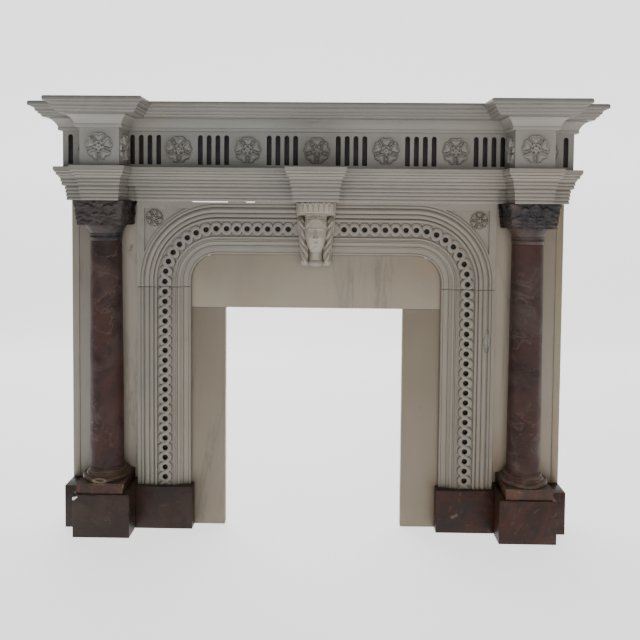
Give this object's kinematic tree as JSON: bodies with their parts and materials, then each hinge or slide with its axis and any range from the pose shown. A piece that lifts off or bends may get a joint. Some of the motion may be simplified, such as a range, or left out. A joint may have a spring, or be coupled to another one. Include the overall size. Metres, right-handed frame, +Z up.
{
  "type": "fireplace mantel",
  "caption": "Marble chimneypiece with moulded shelf, slotted frieze, arched surround, carved mask and red marble columns on dark plinths.",
  "frame": {"origin": "on the floor, at the middle of the bounding box seen from above", "axes": "+Z up, +X to the right seen from the front, +Y into the wall, so the front faces -Y"},
  "size_m": [2.038, 0.314, 1.5512],
  "materials": {
    "white_marble": "honed and aged, soft grey veins",
    "red_marble": "polished, mottled red and brown",
    "dark_marble": "carved, dull polish",
    "brown_marble": "polished, mottled dark brown and red, dusty",
    "black_inlay": "honed"
  },
  "bodies": {
    "root": {"shelf": "white_marble", "frieze": "white_marble", "architrave": "white_marble", "lintel": "white_marble", "keystone_mask": "white_marble", "top_slip": "white_marble", "left_frieze_block": "white_marble", "left_jamb": "white_marble", "left_slip": "white_marble", "left_pilaster_panel": "white_marble", "left_side_return": "white_marble", "left_column_shaft": "red_marble", "left_capital": "dark_marble", "left_column_base": "brown_marble", "left_column_plinth": "brown_marble", "left_jamb_plinth": "brown_marble", "right_frieze_block": "white_marble", "right_jamb": "white_marble", "right_slip": "white_marble", "right_pilaster_panel": "white_marble", "right_side_return": "white_marble", "right_column_shaft": "red_marble", "right_capital": "dark_marble", "right_column_base": "brown_marble", "right_column_plinth": "brown_marble", "right_jamb_plinth": "brown_marble", "frieze_inlay_01": "black_inlay", "frieze_inlay_02": "black_inlay", "frieze_inlay_03": "black_inlay", "frieze_inlay_04": "black_inlay", "frieze_inlay_05": "black_inlay", "frieze_inlay_06": "black_inlay", "frieze_inlay_07": "black_inlay", "frieze_inlay_08": "black_inlay", "frieze_inlay_09": "black_inlay", "frieze_inlay_10": "black_inlay", "frieze_inlay_11": "black_inlay", "frieze_inlay_12": "black_inlay", "frieze_inlay_13": "black_inlay", "frieze_inlay_14": "black_inlay", "frieze_inlay_15": "black_inlay", "frieze_inlay_16": "black_inlay", "frieze_inlay_17": "black_inlay", "frieze_inlay_18": "black_inlay", "frieze_inlay_19": "black_inlay", "frieze_inlay_20": "black_inlay", "frieze_inlay_21": "black_inlay", "frieze_inlay_22": "black_inlay", "frieze_inlay_23": "black_inlay", "frieze_inlay_24": "black_inlay", "frieze_inlay_25": "black_inlay", "frieze_inlay_26": "black_inlay"}
  },
  "joints": []
}
